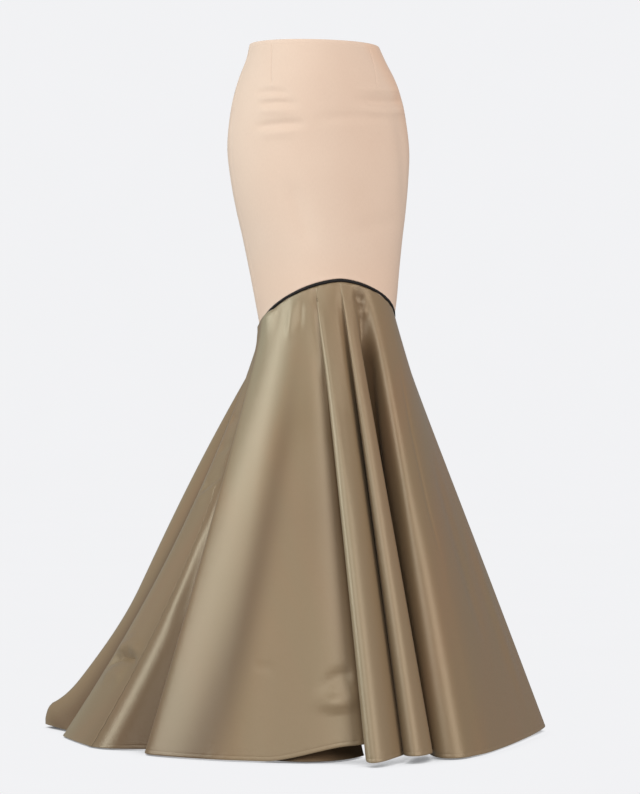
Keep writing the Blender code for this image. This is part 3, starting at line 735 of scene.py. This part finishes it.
def smoothed(values, rounds):
    """Closed rows of a grid, each point drawn towards its neighbours round the skirt."""
    for _ in range(rounds):
        values = (np.roll(values, 1, axis=1) + 2 * values + np.roll(values, -1, axis=1)) / 4
    return values


def satin_rows(length):
    """Levels of each column: even, and closer together at the piping and the hem."""
    top = np.array([0.0, 0.0004, 0.001, 0.002, 0.0035])
    foot = np.array([0.011, 0.0085, 0.0073, HEM_DEEP, 0.0057, 0.0045, 0.002, 0.0008, 0.0])
    share = np.linspace(0.0, 1.0, 104)[1:-1]
    first = top[-1] / length
    last = 1 - foot[0] / length
    return np.concatenate([top[:, None] / length, first + share[:, None] * (last - first),
                           1 - foot[:, None] / length])


CREASE_STEPS = 160
CREASE_REACH = 1.6              # rows of FOLDS to each side that a crease can lift
SMOOTH_ROUNDS = 5
even_turns = np.arange(len(FOLDS) * STEPS) / STEPS
_, fall_length = flounce_points(even_turns, np.array([[0.0], [1.0]]))
satin_levels = satin_rows(fall_length)
satin_form = smoothed(flounce_points(even_turns, satin_levels)[0], SMOOTH_ROUNDS)
closed = np.concatenate([satin_form[:, -1:], satin_form, satin_form[:, :1]], axis=1)
satin_out = facing_out(closed)[:, 1:-1]
satin_rise = np.zeros(satin_form.shape[:2])
for points, width, rise in SATIN_CREASES:
    points = np.array(points)
    share = np.linspace(0.0, 1.0, CREASE_STEPS)
    knots = np.linspace(0.0, 1.0, len(points))
    line_turns = np.interp(share, knots, points[:, 0])
    line_levels = np.interp(share, knots, points[:, 1])
    line = flounce_points(line_turns, line_levels[None, :])[0][0]
    low = int((points[:, 0].min() - CREASE_REACH) * STEPS)
    high = int((points[:, 0].max() + CREASE_REACH) * STEPS)
    satin_rise[:, low:high] += crease(satin_form[:, low:high], line, width, rise)
satin_form = satin_form + satin_out * satin_rise[..., None]

# at the wearer's right the satin puffs up over the piping and hides it
PUFF_ROWS = (8.2, 9.2, 11.2, 11.9)
PUFF_OUT = 0.0065
PUFF_UP = 0.0065
PUFF_DOWN = 0.009               # its fullest point, below the piping
PUFF_TALL = 0.030
from_piping = satin_levels * fall_length
puff = (smooth_step(even_turns, PUFF_ROWS[0], PUFF_ROWS[1])
        * (1 - smooth_step(even_turns, PUFF_ROWS[2], PUFF_ROWS[3])))
puff = puff * smooth_step(from_piping, -0.001, PUFF_DOWN) * np.exp(-from_piping / PUFF_TALL) * 1.3
satin_form = satin_form + satin_out * (PUFF_OUT * puff)[..., None]
satin_form[..., 2] += PUFF_UP * puff

# the tail of the train lies as a plump fold with its hem tucked down to the floor
TAIL_ROW = 6.0
TAIL_ROWS_WIDE = 0.60
TAIL_TALL = 0.032
TAIL_BLUNT = 0.020
tail_near = bell(even_turns - TAIL_ROW, TAIL_ROWS_WIDE)
from_hem = (1 - satin_levels) * fall_length
tail_profile = np.sqrt(1 - (1 - np.clip(from_hem / TAIL_BLUNT, 0, 1)) ** 2)
tail_profile = tail_profile * (1 - smooth_step(from_hem, 0.10, 0.34))
satin_form[..., 2] += TAIL_TALL * tail_near * tail_profile

# painted light and shade along the satin's folds: browner painted shade in creases and on slopes
# turned from the light, paler painted highlights on ridges.
# Rows at the piping and the hem, width in rows, and the lean at the piping, half way and at the
# hem (- is browner, + is paler)
SATIN_LIGHT_AND_SHADE_BANDS = [
    ((13.9, 13.4), 1.10, (0.25, -0.08, 0.22)),
    ((13.3, 11.75), 0.40, (-0.15, -0.60, -0.90)),
    ((12.5, 11.15), 0.40, (0.00, -0.10, -0.25)),
    ((14.5, 14.4), 0.60, (-0.30, -0.60, -0.15)),
    ((12.4, 11.3), 0.90, (0.60, 0.00, 0.00)),
    ((11.2, 11.1), 0.40, (0.90, -0.10, -0.25)),
    ((16.0, 16.1), 0.60, (0.20, 0.40, 0.30)),
    ((19.0, 19.1), 0.50, (0.10, 0.30, 0.20)),
    ((9.9, 9.75), 0.85, (0.10, -0.60, -0.95)),
    ((8.7, 8.7), 0.40, (0.30, 0.20, 0.15)),
    ((7.7, 8.1), 0.28, (0.45, 0.40, 0.45)),
    ((7.4, 6.6), 0.34, (-0.90, -1.00, -0.70)),
    ((6.0, 5.9), 0.28, (0.60, 0.60, 0.30)),
    ((21.1, 21.2), 0.45, (-0.55, -0.35, 0.00)),
    ((23.6, 24.0), 1.20, (0.10, -0.05, -0.05)),
]


def satin_painted_light(turns, levels):
    painted_light_and_tone = np.zeros(levels.shape)
    for (top, foot), width, leans in SATIN_LIGHT_AND_SHADE_BANDS:
        middle = top + (foot - top) * levels
        lean = np.interp(levels, (0.0, 0.5, 1.0), leans)
        painted_light_and_tone += lean * bell(turns - middle, width)
    return painted_light_and_tone


def olive_satin():
    """Heavy satin: long floats with a broad soft gloss; olive, with painted brown shade and pale
    highlights along its folds.
    """
    made, tree, shader = new_material("olive_satin", {
        "Sheen Weight": 0.05, "Sheen Roughness": 0.35, "Sheen Tint": (0.95, 1.0, 0.90, 1.0),
        "Specular IOR Level": 0.58, "Specular Tint": (1.0, 0.90, 0.70, 1.0),
        "Anisotropic": 0.35})
    place = cloth_place(tree)
    painted_light_and_tone = cloth_field(tree, "painted_light_and_tone")
    colour = drifting(tree, place, 9.0, 1.4, (0.190, 0.138, 0.080), (0.205, 0.134, 0.077))
    threads = grouped(tree, weave, Place=place, Threads_Across=1500.0, Threads_Along=1100.0,
                      Unevenness=1.0)
    worn = grouped(tree, wear, Edge=cloth_field(tree, "edge"), Place=place, Amount=0.35)
    # painted shade (browner) and painted highlights (paler), from the per-point field
    browner = math_node(tree, "MULTIPLY", painted_light_and_tone, -1.0, clamp=True)
    paler = math_node(tree, "MULTIPLY", painted_light_and_tone, 1.0, clamp=True)
    brown = mix_colours(tree, browner, colour, (0.082, 0.044, 0.022))
    pale = mix_colours(tree, paler, brown, (0.250, 0.215, 0.145))
    woven = woven_colour(tree, threads, pale, (0.93, 0.93, 0.93), (1.05, 1.05, 1.05))
    final = mix_colours(tree, worn.outputs["Mask"], woven, (0.26, 0.21, 0.14))
    finish_cloth(tree, shader, threads, final, (0.38, 0.31), 0.25, 0.00015)
    return made


def between_columns(values, turns):
    """Values of the closed grid at any turns, on a smooth curve through its columns."""
    spot = np.asarray(turns) * STEPS
    low = np.floor(spot + 1e-9).astype(int)
    u = (spot - low)[None, :, None]
    count = values.shape[1]
    p0, p1, p2, p3 = (values[:, (low + shift) % count] for shift in (-1, 0, 1, 2))
    return 0.5 * (2 * p1 + (p2 - p0) * u + (2 * p0 - 5 * p1 + 4 * p2 - p3) * u ** 2
                  + (3 * p1 - p0 - 3 * p2 + p3) * u ** 3)


# where the front is folded under at the first pleat, its hem shows below the raised edge:
# across and forward of the hem line, its height, and how far it leans back
UNDER_HEM = [(-0.1655, -0.2565), (-0.1060, -0.3150), (-0.0674, -0.3235), (-0.0007, -0.2618)]
UNDER_TALL = 0.075
UNDER_LEAN = 0.042
# the folded-under hem is browned with painted shade, as it lies under the raised edge
UNDER_PAINTED_SHADE = -0.5
UNDER_STEPS = 48
UNDER_ROWS = 22


def add_under_fold():
    share = np.linspace(0.0, 1.0, UNDER_STEPS)[:, None]
    hem = bezier(*np.array(UNDER_HEM), share)
    hem_far = np.linalg.norm(hem, axis=1, keepdims=True)
    up = np.linspace(1.0, 0.0, UNDER_ROWS)[:, None, None]
    flat = hem - hem / hem_far * UNDER_LEAN * up ** 0.8
    wave = 0.002 * np.sin(9.0 * share[None] + 3.0 * up)
    height = np.broadcast_to(FLOOR_Z + 0.0035 + UNDER_TALL * up, flat.shape[:2] + (1,))
    outer = np.concatenate([flat + wave * hem / hem_far, height], axis=2)
    return add_cloth("under_fold", outer, SATIN_THICK, satin, np.full(outer.shape[:2], UNDER_PAINTED_SHADE))


# each gore's seam allowance lies pressed under the gore beside it
ALLOWANCE_ROWS = np.array([0.09, 0.05, 0.006])
GORE_PUCKER = 0.0003
HEM_PUCKER = 0.0002


def add_gore(name, stands_for, low_row, high_row):
    beside = np.array([0.004, 0.016, 0.03])
    inner_turns = np.arange(low_row * STEPS + 1, high_row * STEPS) / STEPS
    turns = np.concatenate([low_row - ALLOWANCE_ROWS, low_row + beside, inner_turns,
                            (high_row - beside)[::-1]])
    hidden = len(ALLOWANCE_ROWS)
    outer = between_columns(satin_form, turns)
    levels = between_columns(satin_levels[..., None], turns)[..., 0]
    away = np.full(outer.shape[:2], 1.0)
    away[:, hidden:] = edge_distance(outer[:, hidden:], 1)[0]
    down_edge, down = edge_distance(outer, 0)
    from_stitch = down[-1] - down - HEM_DEEP
    pull = uneven_ripple(edge_distance(outer, 1)[1], 310.0, 47.0)
    rise = -ROLL_DEEP / 2 * rolled_edge(away)
    rise -= ROLL_DEEP * rolled_edge(down_edge)
    rise -= HEM_PUCKER * bell(from_stitch, 0.0009)
    rise += GORE_PUCKER * pull * np.exp(-down / 0.008)
    rise += HEM_PUCKER * pull * bell(from_stitch, 0.004)
    rise += GORE_PUCKER * uneven_ripple(down, 260.0, 31.0) * np.exp(-away / 0.006)
    rise[:, :hidden] -= ALLOWANCE_DEEP
    outer = outer + facing_out(outer) * rise[..., None]
    # painted light and shade bands along the folds
    painted_light_and_tone = satin_painted_light(turns[None, :] + 0 * levels, levels)
    made = add_cloth(name, outer, SATIN_THICK, satin, painted_light_and_tone)
    if name == "front_gore":
        pieces = [made, add_under_fold()]
        with bpy.context.temp_override(active_object=made, selected_editable_objects=pieces):
            bpy.ops.object.join()
    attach(made, "skirt")
    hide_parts(stands_for)


satin = olive_satin()
RIGHT_SEAM_ROW = FOLD_ROW["right_side_seam"]
LEFT_SEAM_ROW = FOLD_ROW["left_side_seam"]
add_gore("front_gore", "flounce_front", RIGHT_SEAM_ROW, LEFT_SEAM_ROW)
add_gore("back_left_gore", "flounce_back_left", LEFT_SEAM_ROW, len(FOLDS))
add_gore("back_right_gore", "flounce_back_right", 0, RIGHT_SEAM_ROW)

# ---------------------------------------------------------------- zip
# A concealed zip in the centre back seam: two woven tapes inside the opening, a moulded coil
# along their inner edges, and outside at the top a small enamelled slider with a hanging pull.
TAPE_WIDE = 0.0110
TAPE_THICK = 0.0010
TAPE_TOP_Z = -0.003
TAPE_FOOT_Z = -0.2205
TAPE_BEHIND = 0.0005
TAPE_RIBS = 5
TAPE_RIB_DEEP = 0.00008
HALF_GAP = 0.0002
COIL_ROUND = 0.00075            # half thickness of a coil's turn
COIL_PITCH = 0.0013
COIL_WIRE = 0.00028
COIL_SIDES = 8                  # points in each of its turns
COIL_TOP_DOWN = 0.004
COIL_SHORTER = 0.012
ZIP_SLIDER_Z = -0.012           # height of the pull's hinge line
METAL_SOFT = 0.00016            # width of the metal's softened edges
PULL_POINTS = 48
PULL_OUT = 0.0029               # the pull's middle, out from the cloth
PULL_HALF_THICK = 0.0006
PULL_HALF_WIDE = 0.0034
PULL_HALF_LONG = 0.0123
PULL_MIDDLE = 0.0117            # down from the hinge line
PULL_NECK = 0.0009              # taken off each side below the window
PULL_NECK_DOWN = 0.0062
WINDOW_HALF_WIDE = 0.0023
WINDOW_HALF_TALL = 0.00155
WINDOW_MIDDLE = 0.00215
SLIDER_HALF_WIDE = 0.0018
ARCH_OUT = 0.0034
ARCH_TALL = 0.0016
ARCH_HALF = 0.0021
HOLE_ROUND = 0.0011


def zip_tape_cloth():
    """Tightly woven polyester tape, ribbed along its length."""
    made, tree, shader = new_material("zip_tape_weave", {"Specular IOR Level": 0.3})
    place = cloth_place(tree)
    threads = grouped(tree, weave, Place=place, Threads_Across=700.0, Threads_Along=1600.0,
                      Unevenness=0.5)
    colour = drifting(tree, place, 60.0, 20.0, (0.66, 0.46, 0.34), (0.62, 0.43, 0.32))
    woven = woven_colour(tree, threads, colour, (0.86, 0.86, 0.86), (1.05, 1.05, 1.05))
    finish_cloth(tree, shader, threads, woven, (0.9, 0.78), 0.5, 0.0003)
    return made


def add_tape(name, stands_for, side):
    """side is +1 for the wearer's left tape, -1 for the right one."""
    across = np.linspace(0.0, TAPE_WIDE, 13)
    height = np.linspace(TAPE_TOP_Z, TAPE_FOOT_Z, 110)
    turn = np.degrees((across + HALF_GAP)[None, :] / body_sizes(height)[:, :1])
    order = slice(None) if side < 0 else slice(None, None, -1)
    deg = (180.0 - side * turn)[:, order]
    face = body_point(deg, height[:, None])
    rib = TAPE_RIB_DEEP * np.sin(across[order] / TAPE_WIDE * 2 * np.pi * TAPE_RIBS)
    depth = CREPE_THICK + TAPE_BEHIND - rib
    made = add_cloth(name, face - facing_out(face) * depth[None, :, None], TAPE_THICK, tape_cloth)
    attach(made, "skirt")
    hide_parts(stands_for)


def object_place(tree):
    return node(tree, "TexCoord", {}).outputs["Object"]


def coil_nylon():
    """Moulded nylon coil, slightly glossy, mottled a little lighter and darker at random."""
    made, tree, shader = new_material("zip_coil_nylon", {"Specular IOR Level": 0.5})
    mottle = noise(tree, object_place(tree), 900.0, 2.0)
    feed(shader, {"Base Color": mix_colours(tree, mottle, (0.50, 0.34, 0.25), (0.62, 0.44, 0.33)),
                  "Roughness": map_node(tree, mottle, 0.32, 0.48)})
    return made


def add_coil(name, side):
    turns = (TAPE_TOP_Z - TAPE_FOOT_Z - COIL_SHORTER) / COIL_PITCH
    angle = np.linspace(0.0, 2 * np.pi * turns, int(turns * COIL_SIDES))[:, None]
    height = TAPE_TOP_Z - COIL_TOP_DOWN - angle / (2 * np.pi) * COIL_PITCH
    around = body_point(np.array([[179.0, 180.0, 181.0]]), height)
    normal = facing_out(around)[:, 1]
    inside = CREPE_THICK + TAPE_BEHIND + TAPE_THICK + COIL_ROUND + COIL_WIRE
    across = HALF_GAP + COIL_ROUND + COIL_WIRE + COIL_ROUND * np.cos(angle)
    path = around[:, 1] + across * (side, 0.0, 0.0)
    path += (COIL_ROUND * np.sin(angle) - inside) * normal
    curve = bpy.data.curves.new(name, "CURVE")
    curve.dimensions = "3D"
    spline = curve.splines.new("POLY")
    spline.points.add(len(path) - 1)
    spline.points.foreach_set("co", np.c_[path, np.ones(len(path))].ravel())
    curve.bevel_depth = COIL_WIRE
    curve.bevel_resolution = 1
    drawn = bpy.data.objects.new(name, curve)
    mesh = bpy.data.meshes.new_from_object(drawn)
    bpy.data.objects.remove(drawn)
    made = add_piece(name, mesh, coil)
    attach(made, "skirt")


def enamelled_metal():
    """Die-cast metal under a thin nude enamel, rubbed to bare metal at its corners."""
    made, tree, shader = new_material("zip_enamel", {"Specular IOR Level": 0.5})
    speckle = noise(tree, object_place(tree), 1400.0, 4.0)
    shape = node(tree, "NewGeometry", {}).outputs["Pointiness"]
    corner = node(tree, "MapRange", {0: shape, 1: 0.52, 2: 0.62}).outputs[0]
    worn = math_node(tree, "MULTIPLY", corner, speckle, clamp=True)
    nude = mix_colours(tree, speckle, (0.60, 0.43, 0.32), (0.66, 0.48, 0.37))
    feed(shader, {"Base Color": mix_colours(tree, worn, nude, (0.72, 0.66, 0.58)),
                  "Metallic": worn, "Roughness": map_node(tree, speckle, 0.26, 0.4)})
    return made


def zip_place():
    """Hinge-height point on the outer face at centre back, with outward and downward units."""
    point = body_point(180.0, ZIP_SLIDER_Z)
    down = body_point(180.0, ZIP_SLIDER_Z - 0.012) - body_point(180.0, ZIP_SLIDER_Z + 0.008)
    down[0] = 0.0
    down /= np.linalg.norm(down)
    return point, np.cross((1.0, 0.0, 0.0), down), down


def add_metal(name, stands_for, body, rings):
    """Small metal plate with a hole, from four like rings of points (across, outward, down):
    the outline and the hole of one face, then of the other. Its edges are softened."""
    point, outward, down = zip_place()
    local = np.concatenate([np.array(ring, dtype=float) for ring in rings])
    vertices = point + local @ np.array([(1.0, 0.0, 0.0), outward, down])
    size = len(rings[0])
    faces = []
    for first, second in ((0, 1), (2, 3), (0, 2), (1, 3)):
        faces += strip(first * size, second * size, size)
    mesh = bpy.data.meshes.new(name)
    mesh.from_pydata(vertices.tolist(), [], faces)
    work = bmesh.new()
    work.from_mesh(mesh)
    bmesh.ops.remove_doubles(work, verts=work.verts, dist=1e-6)
    bmesh.ops.recalc_face_normals(work, faces=work.faces)
    sharp = [edge for edge in work.edges if edge.is_manifold and edge.calc_face_angle() > 0.6]
    bmesh.ops.bevel(work, geom=sharp, offset=METAL_SOFT, segments=2, profile=0.5, affect="EDGES",
                    clamp_overlap=True)
    work.to_mesh(mesh)
    work.free()
    made = add_piece(name, mesh, enamel)
    mesh.set_sharp_from_angle(angle=np.radians(40))
    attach(made, body)
    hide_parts(stands_for)


def add_pull():
    """Flat tab: a bar through the slider's loop, a window round it and a tear-shaped grip."""
    outline = []
    window = []
    for angle in np.linspace(0.0, 2 * np.pi, PULL_POINTS, endpoint=False):
        hand, out = np.sign(np.sin(angle)), np.abs(np.sin(angle))
        down = PULL_MIDDLE - PULL_HALF_LONG * np.cos(angle)
        neck = PULL_NECK * bell(down - PULL_NECK_DOWN, 0.0022)
        outline.append((hand * max(PULL_HALF_WIDE * out ** 0.35 - neck, 0.0), down))
        window.append((hand * WINDOW_HALF_WIDE * out ** 0.3,
                       WINDOW_MIDDLE - WINDOW_HALF_TALL * np.cos(angle)))
    rings = [[(x, out, down) for x, down in ring]
             for out in (PULL_OUT - PULL_HALF_THICK, PULL_OUT + PULL_HALF_THICK)
             for ring in (outline, window)]
    add_metal("zip_pull_tab", "zip_pull", "zip_pull", rings)


def add_slider():
    """Slider: a base along the seam under an arched loop, whose hole takes the pull's bar."""
    arch = [(ARCH_OUT + ARCH_TALL * np.sin(a), -ARCH_HALF * np.cos(a))
            for a in np.linspace(np.pi, 0.0, 24)]
    base = [(0.0018, 0.0021), (0.0018, 0.0066), (0.0014, 0.0070), (0.0006, 0.0070),
            (0.0006, -0.0021), (0.0018, -0.0021)]
    profile = arch + base
    hole = [(PULL_OUT + HOLE_ROUND * np.sin(a), -HOLE_ROUND * np.cos(a))
            for a in np.linspace(0.0, 2 * np.pi, len(profile), endpoint=False)]
    rings = [[(x, out, down) for out, down in ring]
             for x in (-SLIDER_HALF_WIDE, SLIDER_HALF_WIDE) for ring in (profile, hole)]
    add_metal("zip_slider_body", "zip_slider", "skirt", rings)


tape_cloth = zip_tape_cloth()
coil = coil_nylon()
enamel = enamelled_metal()
add_tape("tape_left", "zip_tape_left", 1)
add_tape("tape_right", "zip_tape_right", -1)
add_coil("coil_left", 1)
add_coil("coil_right", -1)
add_slider()
add_pull()

# ---------------------------------------------------------------- floor, light and camera
# A seamless pale studio sweep under and behind the skirt, lit softly from the left, with the
# camera at knee height a little to the wearer's right.
CAMERA_TURN = 18.0
CAMERA_AWAY = 4.25
CAMERA_SIDE = 0.0094
CAMERA_Z = -0.60
CAMERA_LENS = 112.7
PAPER = (0.885, 0.888, 0.905, 1.0)
PAPER_GLOW = 0.30               # share of its brightness that it throws on the skirt
SWEEP_HALF_WIDE = 11.0
SWEEP_AHEAD = 11.0
SWEEP_BEHIND = 9.0
SWEEP_TALL = 7.0
SWEEP_ROUND = 1.2


def studio_paper():
    made = bpy.data.materials.new("studio_paper")
    made.use_nodes = True
    tree = made.node_tree
    tree.nodes.clear()
    shade = map_node(tree, noise(tree, object_place(tree), 3.0, 6.0), 0.995, 1.005)
    # painted contact shadow: the paper's glow dims where the skirt is near it, by ambient
    # occlusion within 9 cm
    near = node(tree, "AmbientOcclusion", {"Distance": 0.09}, samples=8)
    lit = node(tree, "MapRange", {0: near.outputs["AO"], 1: 0.05, 2: 0.75, 3: 0.03},
               interpolation_type="SMOOTHSTEP")
    seen = node(tree, "LightPath", {}).outputs["Is Camera Ray"]
    strength = math_node(tree, "MULTIPLY", math_node(tree, "MULTIPLY", shade, lit.outputs[0]),
                         map_node(tree, seen, PAPER_GLOW, 1.0))
    glow = node(tree, "Emission", {"Color": PAPER, "Strength": strength})
    node(tree, "OutputMaterial", {"Surface": glow.outputs[0]})
    return made


def from_camera(side, away):
    """x and y of a place measured across and along the camera's view."""
    turn = np.radians(CAMERA_TURN)
    return (side * np.cos(turn) + away * np.sin(turn), -side * np.sin(turn) + away * np.cos(turn))


def add_sweep():
    profile = [(-SWEEP_AHEAD, FLOOR_Z), (SWEEP_BEHIND, FLOOR_Z)]
    for angle in np.linspace(0.0, np.pi / 2, 13)[1:]:
        profile.append((SWEEP_BEHIND + SWEEP_ROUND * np.sin(angle),
                        FLOOR_Z + SWEEP_ROUND * (1 - np.cos(angle))))
    profile.append((SWEEP_BEHIND + SWEEP_ROUND, FLOOR_Z + SWEEP_TALL))
    vertices = [(*from_camera(side, away), z)
                for side in (-SWEEP_HALF_WIDE, SWEEP_HALF_WIDE) for away, z in profile]
    count = len(profile)
    faces = [(i, i + 1, count + i + 1, count + i) for i in range(count - 1)]
    mesh = bpy.data.meshes.new("floor")
    mesh.from_pydata(vertices, [], faces)
    add_piece("floor", mesh, studio_paper())


def add_light(name, side, away, z, wide, tall, watts, colour):
    """Soft box at a place measured across and along the camera's view, facing the skirt."""
    lamp = bpy.data.lights.new(name, "AREA")
    lamp.shape = "RECTANGLE"
    lamp.size = wide
    lamp.size_y = tall
    lamp.energy = watts
    lamp.color = colour
    made = bpy.data.objects.new(name, lamp)
    made.location = (*from_camera(side, away), z)
    aim = np.array((0.0, 0.0, -0.62)) - np.array(made.location)
    flat = np.hypot(aim[0], aim[1])
    made.rotation_euler = (np.arctan2(flat, -aim[2]), 0.0, np.arctan2(-aim[0], aim[1]))
    bpy.context.scene.collection.objects.link(made)


def add_world():
    world = bpy.data.worlds.new("studio")
    world.use_nodes = True
    tree = world.node_tree
    tree.nodes.clear()
    seen = node(tree, "LightPath", {}).outputs["Is Camera Ray"]
    soft = node(tree, "Background", {"Color": (0.97, 0.98, 1.0, 1.0), "Strength": 0.32})
    shown = node(tree, "Background", {"Color": PAPER, "Strength": 1.0})
    mixed = node(tree, "MixShader", {0: seen, 1: soft.outputs[0], 2: shown.outputs[0]})
    node(tree, "OutputWorld", {"Surface": mixed.outputs[0]})
    bpy.context.scene.world = world


def add_camera():
    lens = bpy.data.cameras.new("camera")
    lens.lens = CAMERA_LENS
    lens.sensor_width = 36.0
    made = bpy.data.objects.new("camera", lens)
    made.location = (*from_camera(CAMERA_SIDE, -CAMERA_AWAY), CAMERA_Z)
    made.rotation_euler = (np.pi / 2, 0.0, -np.radians(CAMERA_TURN))
    bpy.context.scene.collection.objects.link(made)
    bpy.context.scene.camera = made


add_sweep()
add_light("side", -3.0, -1.3, 0.5, 1.6, 2.4, 98.0, (0.94, 0.99, 0.98))
add_light("front", -0.2, -3.9, 1.3, 2.6, 2.2, 90.0, (1.0, 0.985, 0.97))
add_light("fill", 3.0, -2.2, 0.3, 2.4, 2.6, 88.0, (1.04, 0.95, 0.88))
add_world()
add_camera()
bpy.context.scene.view_settings.view_transform = "Standard"
